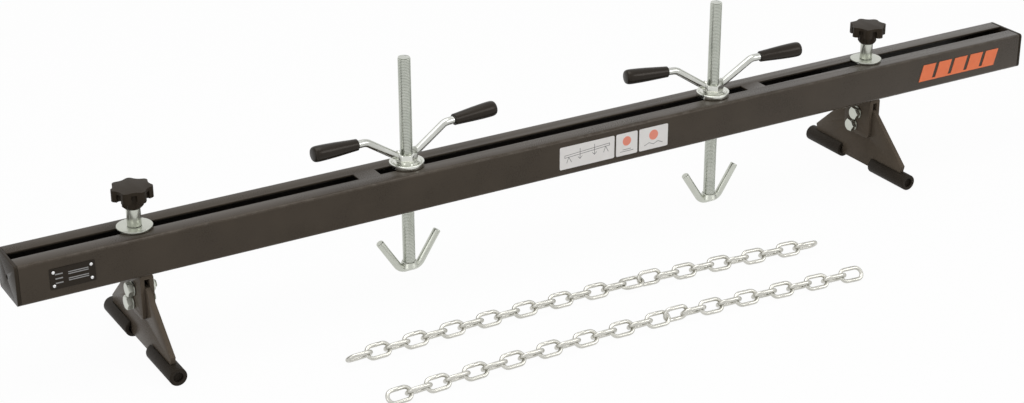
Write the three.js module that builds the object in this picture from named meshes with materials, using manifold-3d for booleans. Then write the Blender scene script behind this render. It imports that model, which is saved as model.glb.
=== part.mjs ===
// An engine support bar: a slotted steel tube that lies across an engine bay on two feet, with two
// threaded spindles whose hooks take the chains round the engine.
// Millimetres. +Z is up, +X runs along the bar to the right, and -Y is the front, where the labels are.
// The floor under the feet is Z = 0, and the origin lies there, under the middle of the whole set.

import * as THREE from 'three';
import { mergeVertices } from 'three/addons/utils/BufferGeometryUtils.js';
import Module from 'manifold-3d';

const wasm = await Module();
wasm.setup();

// Bar
const barLength = 1500;
const barWidth = 65;
const barHeight = 50;
const barWall = 3;
const barCorner = 4;
const slotWidth = 17.5;
const bridgeLength = 29.5;
const bridgeFromMiddle = 293.3;
const endPlateThick = 4;
const endPlateHole = 6;

// Clearances: between pieces that touch, under a stuck-on film, and a cutter's overrun
const seatGap = 0.3;
const filmGap = 0.05;
const overrun = 2;

// Labels and rating plate on the front face
const ratingLength = 54;
const ratingHeight = 26;
const ratingThick = 0.8;
const ratingCorner = 1.5;
const ratingFromEnd = 66;
const rivetInset = 4.6;
const rivetHead = 4.2;
const rivetHeadHeight = 1.1;
const rivetShank = 2;
const rivetDomeWidthShare = 0.6;
const rivetDomeHeightShare = 0.8;
const filmThick = 0.4;
const filmCorner = 2;
const panelHeight = 31;
const panelSpacing = 2.8;
const panelsFromMiddle = -35;
const panelFirstLength = 83;
const panelSecondLength = 33;
const panelThirdLength = 45;
const panelLengths = [panelFirstLength, panelSecondLength, panelThirdLength];
const accentFromEnd = 117;
const accentLength = 146;
const accentHeight = 24;
const accentBlocks = 5;
const accentSpacing = 6;
const accentSlant = 7;
const accentLine = 2.5;

// Supports: places from the bar's ends, clamping stud, washer and star knob
const supportLeftFromEnd = 155;
const supportRightFromEnd = 262;
const studDiameter = 12;
const washerDiameter = 43;
const washerThick = 3;
const knobDiameter = 50;
const knobLobes = 7;
const knobValley = 7;
const knobHeadHeight = 14;
const knobBevel = 2;
const knobNeckHeight = 14;
const knobNeckTop = 26;
const knobNeckFoot = 24;
const knobNeckChamfer = 3;
const knobLift = 21.4;
const bushDiameter = 17;
const bushDepth = 20;

// Clevis bracket under the bar and its bolts
const bracketLength = 54;
const bracketLeg = 5;
const bracketWeb = 6;
const bracketDrop = 84;
const bracketCorner = 7;
const boltDiameter = 10;
const boltHead = 16;
const boltHeadHeight = 6.4;
const boltNutHeight = 8.4;
const boltWasher = 18;
const boltWasherThick = 1.6;
const boltTail = 3;
const pivotDrop = 52;
const lockBack = 7;
const lockBelow = 20;
const footTilt = 18;
const footTiltSpare = 1;

// Foot plate and the sleeves on its lower edge
const footThick = 6;
const footTopDrop = 42;
const footTopLength = 56;
const footShoulderDrop = 103;
const footLength = 190;
const footToeDrop = 110;
const footToeInset = 2;
const footDrop = 127;
const sleeveDiameter = 22;
const sleeveBore = 12;
const sleeveFromMiddle = 33;
const sleeveLength = 75;
const sleeveSlitLength = 63;

// Spindles: places from the middle and from the right support, threaded rod, hook and handle nut
const spindleLeftFromMiddle = 238;
const spindleRightFromSupport = 262;
const spindleLeftLift = 11.5;
const handleTurnLeft = 4.5;
const handleTurnRight = -6.5;
const spindleDiameter = 16;
const spindleLength = 280;
const hookClear = 1.5;
const hookBar = 10;
const hookFlat = 26;
const hookReach = 41;
const hookRise = 43;
const hookBend = 14;
const hookWeldFoot = 24;
const hookWeldTop = 19;
const hookWeldLift = 1;
const hookWeldHeight = 8;
const hookSocketLift = 3;
const cupDiameter = 44;
const cupFloor = 3.4;
const cupRim = 6.2;
const cupRimWidth = 4;
const nutFlange = 34;
const nutFlangeHeight = 3.5;
const nutFlangeSlope = 1.2;
const nutHub = 24;
const nutHubHeight = 13;
const handleRod = 10;
const handleRoot = 10;
const handleRootHeight = 9;
const handleKneeReach = 57;
const handleKneeRise = 40;
const handleBend = 16;
const handleEndReach = 124;
const handleEndRise = 42;
const gripLength = 62;
const gripInner = 14.5;
const gripOuter = 20;
const gripCap = 4;
const gripCapShare = 0.6;
const gripTaperShare = 0.8;
const gripEdge = 0.8;
const gripRodDepth = 54;

// Chains on the floor in front of the bar
const chainLinks = 26;
const chainWire = 5;
const linkWidth = 20.5;
const linkPitch = 25.4;
const linkBite = 1.2;
const chainRearX = -408;
const chainFrontX = -410;
const chainRearY = -163;
const chainFrontY = -269;
const chainRearDrift = -28;
const chainFrontDrift = -19;
const chainBow = 15;
const linkTilt = 45;
const chainRollAfter = 14;
const chainRearRollLinks = 3;
const chainFrontRollLinks = 2;

// Facets
const roundSides = 20;
const rodSides = 16;
const smallSides = 12;
const tinySides = 8;
const bendSteps = 5;
const linkArcSteps = 4;
const linkSides = 5;
const knobPoints = 56;
const cornerSteps = 3;
const weldReach = 0.0001;

const degree = Math.PI / 180;
const halfTurn = 180 * degree;
const fullTurn = 360 * degree;
const axisX = new THREE.Vector3(1, 0, 0);
const axisY = new THREE.Vector3(0, 1, 0);
const axisZ = new THREE.Vector3(0, 0, 1);

const blackPaint = { color: 0x3a3734, roughness: 0.5, metalness: 0.1 };
const blackPlastic = { color: 0x302d2a, roughness: 0.6, metalness: 0 };
const gripPlastic = { color: 0x241e1a, roughness: 0.3, metalness: 0 };
const zinc = { color: 0xb9beb4, roughness: 0.35, metalness: 0.8 };
const blackRubber = { color: 0x2a2724, roughness: 0.8, metalness: 0 };
const whiteFilm = { color: 0xe9e7e4, roughness: 0.4, metalness: 0 };
const orangeFilm = { color: 0xf26a2e, roughness: 0.4, metalness: 0 };
const blackPlate = { color: 0x1b1716, roughness: 0.35, metalness: 0.2 };

// The foot plate's lower edge stands in the sleeves' bore. Heights are from the bar's middle, and
// barZ is the middle's own height above the floor.
const sleeveSeat = Math.sqrt((sleeveBore / 2) ** 2 - (footThick / 2 + seatGap) ** 2);
const sleeveZ = sleeveSeat - footDrop - seatGap;
const barZ = sleeveDiameter / 2 - sleeveZ;
const barTop = barHeight / 2;
const barFront = -barWidth / 2;

// A named piece with its own material.
function piece(name, geometry, look) {
  const mesh = new THREE.Mesh(geometry, new THREE.MeshStandardMaterial(look));
  mesh.name = name;
  return mesh;
}

// A closed geometry as a solid that can be joined and cut.
function solidOf(geometry) {
  const bare = geometry.clone();
  bare.deleteAttribute('normal');
  bare.deleteAttribute('uv');
  const merged = mergeVertices(bare, weldReach);
  return new wasm.Manifold(new wasm.Mesh({
    numProp: 3,
    vertProperties: new Float32Array(merged.attributes.position.array),
    triVerts: new Uint32Array(merged.index.array),
  }));
}

function geometryOf(solid) {
  const { vertProperties, triVerts } = solid.getMesh();
  const geometry = new THREE.BufferGeometry();
  geometry.setAttribute('position', new THREE.BufferAttribute(vertProperties, 3));
  geometry.setIndex(new THREE.BufferAttribute(triVerts, 1));
  geometry.computeVertexNormals();
  return geometry;
}

// One geometry with others cut out of it.
function cut(geometry, ...cutters) {
  let solid = solidOf(geometry);
  for (const cutter of cutters) solid = solid.subtract(solidOf(cutter));
  return geometryOf(solid);
}

function join(...geometries) {
  return geometryOf(geometries.map(solidOf).reduce((whole, part) => whole.add(part)));
}

function block(x0, x1, y0, y1, z0, z1) {
  const geometry = new THREE.BoxGeometry(x1 - x0, y1 - y0, z1 - z0);
  return geometry.translate((x0 + x1) / 2, (y0 + y1) / 2, (z0 + z1) / 2);
}

// A round or many-sided bar along Z.
function rod(radius, z0, z1, sides = rodSides) {
  const geometry = new THREE.CylinderGeometry(radius, radius, z1 - z0, sides);
  return geometry.rotateX(90 * degree).translate(0, 0, (z0 + z1) / 2);
}

// A shape turned about Z, from points of radius and height.
function turned(points, sides = roundSides) {
  const profile = points.map(([radius, height]) => new THREE.Vector2(radius, height));
  return new THREE.LatheGeometry(profile, sides).rotateX(90 * degree);
}

function ring(outer, inner, z0, z1, sides = roundSides) {
  return turned([[inner, z0], [outer, z0], [outer, z1], [inner, z1], [inner, z0]], sides);
}

// Turns a shape made along Z to lie along X.
function layAlongX(geometry) {
  return geometry.rotateY(90 * degree);
}

// A flat outline in Y and Z, made thick along X, or one in X and Z, made thick along Y.
function thickAlongX(shape, x0, x1, steps = cornerSteps) {
  const geometry = new THREE.ExtrudeGeometry(shape, {
    depth: x1 - x0, bevelEnabled: false, curveSegments: steps,
  });
  geometry.applyMatrix4(new THREE.Matrix4().makeBasis(axisY, axisZ, axisX));
  return geometry.translate(x0, 0, 0);
}

function thickAlongY(shape, y0, y1, steps = cornerSteps) {
  const geometry = new THREE.ExtrudeGeometry(shape, {
    depth: y1 - y0, bevelEnabled: false, curveSegments: steps,
  });
  geometry.applyMatrix4(new THREE.Matrix4().makeBasis(axisX, axisZ, axisY.clone().negate()));
  return geometry.translate(0, y1, 0);
}

function roundedBox(path, width, height, corner) {
  const x = width / 2;
  const y = height / 2;
  path.absarc(x - corner, y - corner, corner, 0, 90 * degree);
  path.absarc(corner - x, y - corner, corner, 90 * degree, halfTurn);
  path.absarc(corner - x, corner - y, corner, halfTurn, 270 * degree);
  path.absarc(x - corner, corner - y, corner, 270 * degree, fullTurn);
  path.closePath();
  return path;
}

// A round bar swept along points in the XZ plane, or round a closed loop in the XY plane.
function swept(points, radius, sides, across, closed = false) {
  const count = points.length;
  const corners = [];
  points.forEach((point, index) => {
    const before = closed ? points[(index + count - 1) % count] : points[Math.max(index - 1, 0)];
    const after = closed ? points[(index + 1) % count] : points[Math.min(index + 1, count - 1)];
    const along = after.clone().sub(before).normalize();
    const side = new THREE.Vector3().crossVectors(across, along);
    for (let step = 0; step < sides; step += 1) {
      const angle = (step * fullTurn) / sides;
      const offset = side.clone().multiplyScalar(Math.cos(angle) * radius);
      offset.addScaledVector(across, Math.sin(angle) * radius);
      corners.push(...point.clone().add(offset).toArray());
    }
  });
  const faces = [];
  const spans = closed ? count : count - 1;
  for (let index = 0; index < spans; index += 1) {
    for (let step = 0; step < sides; step += 1) {
      const a = index * sides + step;
      const b = index * sides + ((step + 1) % sides);
      const c = ((index + 1) % count) * sides + step;
      const d = ((index + 1) % count) * sides + ((step + 1) % sides);
      faces.push(a, b, c, b, d, c);
    }
  }
  if (!closed) {
    for (let step = 1; step < sides - 1; step += 1) {
      const last = (count - 1) * sides;
      faces.push(0, step + 1, step, last, last + step, last + step + 1);
    }
  }
  const geometry = new THREE.BufferGeometry();
  geometry.setAttribute('position', new THREE.Float32BufferAttribute(corners, 3));
  geometry.setIndex(faces);
  geometry.computeVertexNormals();
  return geometry;
}

// A line through corners in the XZ plane, with each inner corner rounded to a bend.
function bentLine(corners, bend) {
  const points = [corners[0]];
  for (let index = 1; index < corners.length - 1; index += 1) {
    const corner = corners[index];
    const towards = corners[index - 1].clone().sub(corner).normalize();
    const away = corners[index + 1].clone().sub(corner).normalize();
    const half = towards.angleTo(away) / 2;
    const start = corner.clone().addScaledVector(towards, bend / Math.tan(half));
    const end = corner.clone().addScaledVector(away, bend / Math.tan(half));
    const curve = new THREE.QuadraticBezierCurve3(start, corner, end);
    points.push(...curve.getPoints(bendSteps));
  }
  points.push(corners[corners.length - 1]);
  return points;
}

// Tube of the bar, with three slots through its top and bottom faces and two bridges between them.
// The outer slots run out at the tube's ends, where the end plates close them.
const tubeEnd = barLength / 2 - endPlateThick - seatGap;
const ratingX = ratingFromEnd - barLength / 2;
const rivetPlaces = [-1, 1].flatMap((sideX) => [-1, 1].map((sideZ) => [
  ratingX + sideX * (ratingLength / 2 - rivetInset),
  sideZ * (ratingHeight / 2 - rivetInset),
]));

function rivetHole(x, z) {
  const hole = rod(rivetShank / 2 + seatGap, 0, ratingThick + barWall + overrun * 2, tinySides);
  return hole.rotateX(-90 * degree).translate(x, barFront - ratingThick - overrun, z);
}

function makeTube() {
  const outline = roundedBox(new THREE.Shape(), barWidth, barHeight, barCorner);
  const inside = roundedBox(
    new THREE.Path(), barWidth - barWall * 2, barHeight - barWall * 2, barCorner - barWall,
  );
  outline.holes.push(inside);
  const bridgeInner = bridgeFromMiddle - bridgeLength / 2;
  const bridgeOuter = bridgeFromMiddle + bridgeLength / 2;
  const through = barTop + overrun;
  const slots = [
    [-tubeEnd - overrun, -bridgeOuter], [-bridgeInner, bridgeInner], [bridgeOuter, tubeEnd + overrun],
  ].map(([x0, x1]) => block(x0, x1, -slotWidth / 2, slotWidth / 2, -through, through));
  const holes = rivetPlaces.map(([x, z]) => rivetHole(x, z));
  return cut(thickAlongX(outline, -tubeEnd, tubeEnd), ...slots, ...holes);
}

function makeEndPlate(side) {
  const outline = roundedBox(new THREE.Shape(), barWidth, barHeight, barCorner);
  outline.holes.push(new THREE.Path().absarc(0, 0, endPlateHole / 2, 0, fullTurn));
  const inner = barLength / 2 - endPlateThick;
  const outer = barLength / 2;
  return thickAlongX(outline, side > 0 ? inner : -outer, side > 0 ? outer : -inner);
}

// Rating plate with its four rivets, which go through the tube's front wall.
function makeRating() {
  const outline = roundedBox(new THREE.Shape(), ratingLength, ratingHeight, ratingCorner);
  const back = barFront - filmGap;
  const plate = thickAlongY(outline, back - ratingThick, back).translate(ratingX, 0, 0);
  return cut(plate, ...rivetPlaces.map(([x, z]) => rivetHole(x, z)));
}

function makeRivet(x, z) {
  const face = barFront - filmGap - ratingThick - filmGap;
  const shank = barWall + ratingThick + filmGap * 2;
  const head = turned([
    [0, -shank], [rivetShank / 2, -shank], [rivetShank / 2, 0], [rivetHead / 2, 0],
    [(rivetHead / 2) * rivetDomeWidthShare, rivetHeadHeight * rivetDomeHeightShare], [0, rivetHeadHeight],
  ], tinySides);
  return head.rotateX(90 * degree).translate(x, face, z);
}

// White label panels, side by side on the front face.
function makePanel(index) {
  const before = panelLengths.slice(0, index).reduce((sum, length) => sum + length + panelSpacing, 0);
  const outline = roundedBox(new THREE.Shape(), panelLengths[index], panelHeight, filmCorner);
  const back = barFront - filmGap;
  const middle = panelsFromMiddle + before + panelLengths[index] / 2;
  return thickAlongY(outline, back - filmThick, back).translate(middle, 0, 0);
}

// Orange film near the right end: slanted blocks that stand on one thin line.
function makeAccent() {
  const blockLength = (accentLength - accentSlant + accentSpacing) / accentBlocks - accentSpacing;
  const lean = (accentSlant * accentLine) / accentHeight;
  const low = -accentHeight / 2;
  const line = low + accentLine;
  const left = -accentLength / 2;
  const outline = new THREE.Shape();
  outline.moveTo(left, low);
  outline.lineTo(left + accentLength - accentSlant, low);
  for (let index = accentBlocks - 1; index >= 0; index -= 1) {
    const start = left + index * (blockLength + accentSpacing);
    const end = start + blockLength;
    outline.lineTo(end + lean, line);
    outline.lineTo(end + accentSlant, accentHeight / 2);
    outline.lineTo(start + accentSlant, accentHeight / 2);
    outline.lineTo(start + lean, line);
  }
  outline.closePath();
  const back = barFront - filmGap;
  return thickAlongY(outline, back - filmThick, back).translate(barLength / 2 - accentFromEnd, 0, 0);
}

// Clamp on top of the bar: washer, stud, and star knob with the threaded bush that presses on the washer.
const bracketTop = -barTop - seatGap;
const studFoot = bracketTop - bracketWeb;
const washerFoot = barTop + seatGap;
const knobFoot = washerFoot + washerThick + knobLift;
const knobHeadFoot = knobFoot + knobNeckHeight;
const bushFoot = washerFoot + washerThick + seatGap;
const bushTop = knobFoot + bushDepth;
const studTop = bushTop - seatGap;

// The knob has one lobe that points along -X.
function makeKnob() {
  const outline = new THREE.Shape();
  for (let step = 0; step < knobPoints; step += 1) {
    const angle = (step * fullTurn) / knobPoints;
    const dip = ((1 - Math.cos(angle * knobLobes)) / 2) ** 2;
    const radius = knobDiameter / 2 - knobBevel - knobValley * dip;
    const corner = [-Math.cos(angle) * radius, Math.sin(angle) * radius];
    if (step === 0) outline.moveTo(...corner);
    else outline.lineTo(...corner);
  }
  outline.closePath();
  const head = new THREE.ExtrudeGeometry(outline, {
    depth: knobHeadHeight - knobBevel * 2, bevelThickness: knobBevel, bevelSize: knobBevel, bevelSegments: 1,
  }).translate(0, 0, knobHeadFoot + knobBevel);
  const neck = turned([
    [0, knobFoot], [knobNeckFoot / 2 - knobNeckChamfer, knobFoot],
    [knobNeckFoot / 2, knobFoot + knobNeckChamfer], [knobNeckTop / 2, knobHeadFoot + knobBevel],
    [0, knobHeadFoot + knobBevel],
  ]);
  const bore = rod(bushDiameter / 2 + seatGap, knobFoot - overrun, bushTop + seatGap, roundSides);
  return cut(join(head, neck), bore);
}

// Clevis bracket: a web under the bar and two legs that hold the foot plate between them.
const legInner = footThick / 2 + seatGap;
const legOuter = legInner + bracketLeg;
const lockDrop = pivotDrop + lockBelow;

function boltHole(y, z) {
  const reach = legOuter + overrun;
  const hole = rod(boltDiameter / 2 + seatGap, -reach, reach, smallSides);
  return layAlongX(hole).translate(0, y, z);
}

function makeBracketLeg(x0) {
  const half = bracketLength / 2;
  const outline = new THREE.Shape();
  outline.moveTo(-half, bracketTop);
  outline.lineTo(-half, bracketCorner - bracketDrop);
  outline.absarc(bracketCorner - half, bracketCorner - bracketDrop, bracketCorner, Math.PI, Math.PI * 1.5);
  outline.absarc(half - bracketCorner, bracketCorner - bracketDrop, bracketCorner, -Math.PI / 2, 0);
  outline.lineTo(half, bracketTop);
  outline.closePath();
  return thickAlongX(outline, x0, x0 + bracketLeg);
}

function makeBracket() {
  const half = bracketLength / 2;
  const web = block(-legOuter, legOuter, -half, half, bracketTop - bracketWeb, bracketTop);
  const studHole = rod(studDiameter / 2 + seatGap, studFoot - overrun, bracketTop + overrun);
  return cut(
    join(makeBracketLeg(-legOuter), makeBracketLeg(legInner), web),
    studHole, boltHole(0, -pivotDrop), boltHole(lockBack, -lockDrop),
  );
}

// Bolts run along X with their heads on the left and their nuts on the right.
const boltNutFoot = legOuter + seatGap;

function makeBolt(y, z) {
  const seat = -legOuter - boltWasherThick - seatGap * 2;
  const tail = boltNutFoot + boltNutHeight + boltTail;
  const hexRadius = boltHead / Math.sqrt(3);
  const head = rod(hexRadius, seat - boltHeadHeight, seat, 6);
  const shank = rod(boltDiameter / 2, seat - boltHeadHeight / 2, tail, smallSides);
  return layAlongX(join(head, shank)).translate(0, y, z);
}

function makeBoltWasher(y, z) {
  const washer = ring(
    boltWasher / 2, boltDiameter / 2 + seatGap, -legOuter - boltWasherThick - seatGap, -legOuter - seatGap,
  );
  return layAlongX(washer).translate(0, y, z);
}

function makeBoltNut(y, z) {
  const nut = rod(boltHead / Math.sqrt(3), boltNutFoot, boltNutFoot + boltNutHeight, 6);
  const bore = rod(
    boltDiameter / 2 + seatGap, boltNutFoot - overrun, boltNutFoot + boltNutHeight + overrun, smallSides,
  );
  return layAlongX(cut(nut, bore)).translate(0, y, z);
}

// Foot plate: a trapezium that swings on the pivot bolt, with a curved slot round the lock bolt.
function makeFootPlate() {
  const outline = new THREE.Shape();
  const half = footLength / 2;
  const toe = half - footToeInset;
  outline.moveTo(-toe, -footDrop);
  outline.lineTo(toe, -footDrop);
  outline.lineTo(toe, -footToeDrop);
  outline.lineTo(half, -footShoulderDrop);
  outline.lineTo(footTopLength / 2, -footTopDrop);
  outline.lineTo(-footTopLength / 2, -footTopDrop);
  outline.lineTo(-half, -footShoulderDrop);
  outline.lineTo(-toe, -footToeDrop);
  outline.closePath();
  const hole = boltDiameter / 2 + seatGap;
  outline.holes.push(new THREE.Path().absarc(0, -pivotDrop, hole, 0, fullTurn));
  const swing = Math.hypot(lockBack, lockBelow);
  const middle = Math.atan2(-lockBelow, lockBack);
  const start = middle - (footTilt + footTiltSpare) * degree;
  const end = middle + (footTilt + footTiltSpare) * degree;
  const slot = new THREE.Path();
  slot.absarc(0, -pivotDrop, swing + hole, start, end);
  const endY = Math.cos(end) * swing;
  const endZ = Math.sin(end) * swing - pivotDrop;
  slot.absarc(endY, endZ, hole, end, end + halfTurn);
  slot.absarc(0, -pivotDrop, swing - hole, end, start, true);
  const startY = Math.cos(start) * swing;
  const startZ = Math.sin(start) * swing - pivotDrop;
  slot.absarc(startY, startZ, hole, start + halfTurn, start + fullTurn);
  slot.closePath();
  outline.holes.push(slot);
  return thickAlongX(outline, -footThick / 2, footThick / 2, cornerSteps * 2);
}

// Sleeve along Y: a thick tube pushed over the plate's lower edge. Its top is slit as far as the
// plate goes, and the rest is a whole ring.
function makeSleeve() {
  const tube = ring(sleeveDiameter / 2, sleeveBore / 2, 0, sleeveLength).rotateX(-90 * degree);
  const slit = footThick / 2 + seatGap;
  const gap = block(-slit, slit, -overrun, sleeveSlitLength, 0, sleeveDiameter / 2 + overrun);
  return cut(tube, gap).translate(0, sleeveFromMiddle, sleeveZ);
}

function makeSupport(side, x) {
  const support = new THREE.Group();
  support.position.x = x;
  support.add(piece(`support_bracket_${side}`, makeBracket(), blackPaint));
  support.add(piece(`clamp_stud_${side}`, rod(studDiameter / 2, studFoot, studTop), zinc));
  const washer = ring(
    washerDiameter / 2, studDiameter / 2 + seatGap, washerFoot, washerFoot + washerThick, roundSides,
  );
  support.add(piece(`clamp_washer_${side}`, washer, zinc));
  support.add(piece(`clamp_knob_${side}`, makeKnob(), blackPlastic));
  const bush = ring(bushDiameter / 2, studDiameter / 2 + seatGap, bushFoot, bushTop);
  support.add(piece(`knob_bush_${side}`, bush, zinc));
  support.add(piece(`foot_plate_${side}`, makeFootPlate(), blackPaint));
  support.add(piece(`foot_sleeve_rear_${side}`, makeSleeve(), blackRubber));
  support.add(piece(`foot_sleeve_front_${side}`, makeSleeve().rotateZ(halfTurn), blackRubber));
  for (const [use, y, z] of [['pivot', 0, -pivotDrop], ['lock', lockBack, -lockDrop]]) {
    support.add(piece(`${use}_bolt_${side}`, makeBolt(y, z), zinc));
    support.add(piece(`${use}_washer_${side}`, makeBoltWasher(y, z), zinc));
    support.add(piece(`${use}_nut_${side}`, makeBoltNut(y, z), zinc));
  }
  return support;
}

// Handle nut on its cup washer, with two cranked rods and their grips.
const cupFoot = barTop + seatGap;
const nutFoot = cupFoot + cupFloor + seatGap;
const nutBore = spindleDiameter / 2 + seatGap;

function makeCup() {
  const outer = cupDiameter / 2;
  const rimInner = outer - cupRimWidth;
  return turned([
    [nutBore, cupFoot], [outer, cupFoot], [outer, cupFoot + cupRim],
    [outer - cupRimWidth / 2, cupFoot + cupRim], [rimInner, cupFoot + cupFloor],
    [nutBore, cupFoot + cupFloor], [nutBore, cupFoot],
  ]);
}

// A hexagon on a round flange, with two of its flats towards the handles.
function makeNut() {
  const flangeTop = nutFoot + nutFlangeHeight;
  const top = nutFoot + nutHubHeight;
  const flange = turned([
    [0, nutFoot], [nutFlange / 2, nutFoot], [nutFlange / 2, flangeTop - nutFlangeSlope],
    [nutHub / 2, flangeTop], [0, flangeTop],
  ]);
  const hub = rod(nutHub / Math.sqrt(3), nutFoot + nutFlangeHeight / 2, top, 6);
  return cut(join(flange, hub), rod(nutBore, nutFoot - overrun, top + overrun, roundSides));
}

const handleKneeZ = nutFoot + handleKneeRise;
const handleEndZ = nutFoot + handleEndRise;

function handleCorners() {
  return [
    new THREE.Vector3(handleRoot, 0, nutFoot + handleRootHeight),
    new THREE.Vector3(handleKneeReach, 0, handleKneeZ),
    new THREE.Vector3(handleEndReach, 0, handleEndZ),
  ];
}

function makeHandleRod() {
  const bar = swept(bentLine(handleCorners(), handleBend), handleRod / 2, smallSides, axisY);
  const hubRadius = (nutHub + seatGap * 2) / Math.sqrt(3);
  const hub = rod(hubRadius, nutFoot - overrun, nutFoot + nutHubHeight + handleRod, 6);
  const flange = rod(nutFlange / 2 + seatGap, nutFoot - overrun, nutFoot + nutFlangeHeight + seatGap);
  return cut(bar, hub, flange);
}

// Grip: tapers towards the nut and is pushed over the rod's outer end.
function makeGrip() {
  const [, knee, end] = handleCorners();
  const bore = handleRod / 2 + seatGap;
  const length = gripLength - gripCap;
  const grip = turned([
    [bore, 0], [gripInner / 2 - gripEdge, 0], [gripInner / 2, gripEdge],
    [gripOuter / 2, length * gripTaperShare], [gripOuter / 2, length],
    [gripOuter / 2 - gripCap * (1 - gripCapShare), length + gripCap * gripCapShare], [0, gripLength],
    [0, gripRodDepth + seatGap], [bore, gripRodDepth + seatGap], [bore, 0],
  ], rodSides);
  const slope = Math.atan2(end.z - knee.z, end.x - knee.x);
  const along = end.clone().sub(knee).normalize();
  const start = end.clone().addScaledVector(along, -gripRodDepth);
  return grip.rotateY(90 * degree - slope).translate(start.x, start.y, start.z);
}

// Threaded rod with its hook: a round bar bent to a V, with a low cone of weld round the rod's foot.
const hookFoot = hookClear - barZ;
const hookMiddle = hookFoot + hookBar / 2;
const weldFoot = hookMiddle + hookWeldLift;
const socketFoot = hookMiddle + hookSocketLift;

function makeHook() {
  const corners = [
    new THREE.Vector3(-hookReach, 0, hookMiddle + hookRise),
    new THREE.Vector3(-hookFlat / 2, 0, hookMiddle),
    new THREE.Vector3(hookFlat / 2, 0, hookMiddle),
    new THREE.Vector3(hookReach, 0, hookMiddle + hookRise),
  ];
  const bar = swept(bentLine(corners, hookBend), hookBar / 2, smallSides, axisY);
  const weld = turned([
    [0, weldFoot], [hookWeldFoot / 2, weldFoot], [hookWeldTop / 2, weldFoot + hookWeldHeight],
    [0, weldFoot + hookWeldHeight],
  ]);
  const socket = rod(nutBore, socketFoot, weldFoot + hookWeldHeight + overrun);
  return cut(join(bar, weld), socket);
}

function makeSpindle(side, x, lift, turn) {
  const spindle = new THREE.Group();
  spindle.position.x = x;
  spindle.add(piece(`spindle_cup_${side}`, makeCup(), zinc));
  const nut = new THREE.Group();
  nut.rotation.z = turn * degree;
  nut.add(piece(`handle_nut_${side}`, makeNut(), zinc));
  for (const [hand, angle] of [['right', 0], ['left', 180]]) {
    const arm = new THREE.Group();
    arm.rotation.z = angle * degree;
    arm.add(piece(`handle_rod_${hand}_${side}`, makeHandleRod(), zinc));
    arm.add(piece(`handle_grip_${hand}_${side}`, makeGrip(), gripPlastic));
    nut.add(arm);
  }
  const screw = new THREE.Group();
  screw.position.z = lift;
  const rodFoot = socketFoot + seatGap;
  screw.add(piece(`spindle_rod_${side}`, rod(spindleDiameter / 2, rodFoot, rodFoot + spindleLength), zinc));
  screw.add(piece(`spindle_hook_${side}`, makeHook(), zinc));
  spindle.add(nut, screw);
  return spindle;
}

// Chain of welded links that lies on the floor. Neighbours lean to opposite sides at the tilt, and
// after one link the rest of the chain is rolled a quarter turn over a few links. The links touch,
// and are joined there.
const linkBend = (linkWidth - chainWire) / 2;
const linkLength = linkPitch - linkBite + chainWire * 2;
const linkStraight = linkLength - linkWidth;

function makeLink() {
  const points = [];
  for (const [middle, start] of [[linkStraight / 2, -90], [-linkStraight / 2, 90]]) {
    for (let step = 0; step <= linkArcSteps; step += 1) {
      const angle = (start + (step * 180) / linkArcSteps) * degree;
      const x = middle + Math.cos(angle) * linkBend;
      points.push(new THREE.Vector3(x, Math.sin(angle) * linkBend, 0));
    }
  }
  return swept(points, chainWire / 2, linkSides, axisZ, true);
}

function makeChain(startX, startY, drift, firstSide, rollLinks) {
  const links = [];
  const span = linkPitch * (chainLinks - 1);
  for (let index = 0; index < chainLinks; index += 1) {
    const share = index / (chainLinks - 1);
    const rolled = Math.min(Math.max((index - chainRollAfter) / rollLinks, 0), 1) * 90;
    const tilt = (index % 2 ? -linkTilt : linkTilt) * firstSide - rolled;
    const x = startX + linkLength / 2 + linkPitch * index;
    const y = startY + drift * share + chainBow * Math.sin(Math.PI * share);
    const slope = (drift + chainBow * Math.PI * Math.cos(Math.PI * share)) / span;
    const rise = Math.max(Math.abs(Math.sin(tilt * degree)), Math.sin(linkTilt * degree));
    const link = makeLink().rotateX(tilt * degree).rotateZ(Math.atan(slope));
    links.push(link.translate(x, y, linkBend * rise + chainWire / 2));
  }
  return join(...links);
}

const bar = new THREE.Group();
bar.add(piece('bar_tube', makeTube(), blackPaint));
bar.add(piece('end_plate_left', makeEndPlate(-1), blackPaint));
bar.add(piece('end_plate_right', makeEndPlate(1), blackPaint));
bar.add(piece('rating_plate', makeRating(), blackPlate));
for (const [index, [x, z]] of rivetPlaces.entries()) {
  bar.add(piece(`rating_rivet_${index + 1}`, makeRivet(x, z), zinc));
}
for (const index of panelLengths.keys()) {
  bar.add(piece(`label_panel_${index + 1}`, makePanel(index), whiteFilm));
}
bar.add(piece('accent_film', makeAccent(), orangeFilm));
const supportRightX = barLength / 2 - supportRightFromEnd;
bar.add(makeSupport('left', supportLeftFromEnd - barLength / 2));
bar.add(makeSupport('right', supportRightX));
bar.add(makeSpindle('left', -spindleLeftFromMiddle, spindleLeftLift, handleTurnLeft));
bar.add(makeSpindle('right', supportRightX - spindleRightFromSupport, 0, handleTurnRight));
bar.position.z = barZ;

const chains = new THREE.Group();
const rearChain = makeChain(chainRearX, chainRearY, chainRearDrift, -1, chainRearRollLinks);
const frontChain = makeChain(chainFrontX, chainFrontY, chainFrontDrift, 1, chainFrontRollLinks);
chains.add(piece('chain_rear', rearChain, zinc));
chains.add(piece('chain_front', frontChain, zinc));

const engineSupportBar = new THREE.Group();
engineSupportBar.add(bar, chains);

// The whole set is moved so that the origin lies under its middle, on the floor.
const extent = new THREE.Box3().setFromObject(engineSupportBar, true);
const middle = extent.getCenter(new THREE.Vector3()).setZ(extent.min.z);
bar.position.sub(middle);
chains.position.sub(middle);

export default engineSupportBar;
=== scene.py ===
import math

import bmesh
import bpy
from mathutils import Euler, Matrix, Vector


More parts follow.
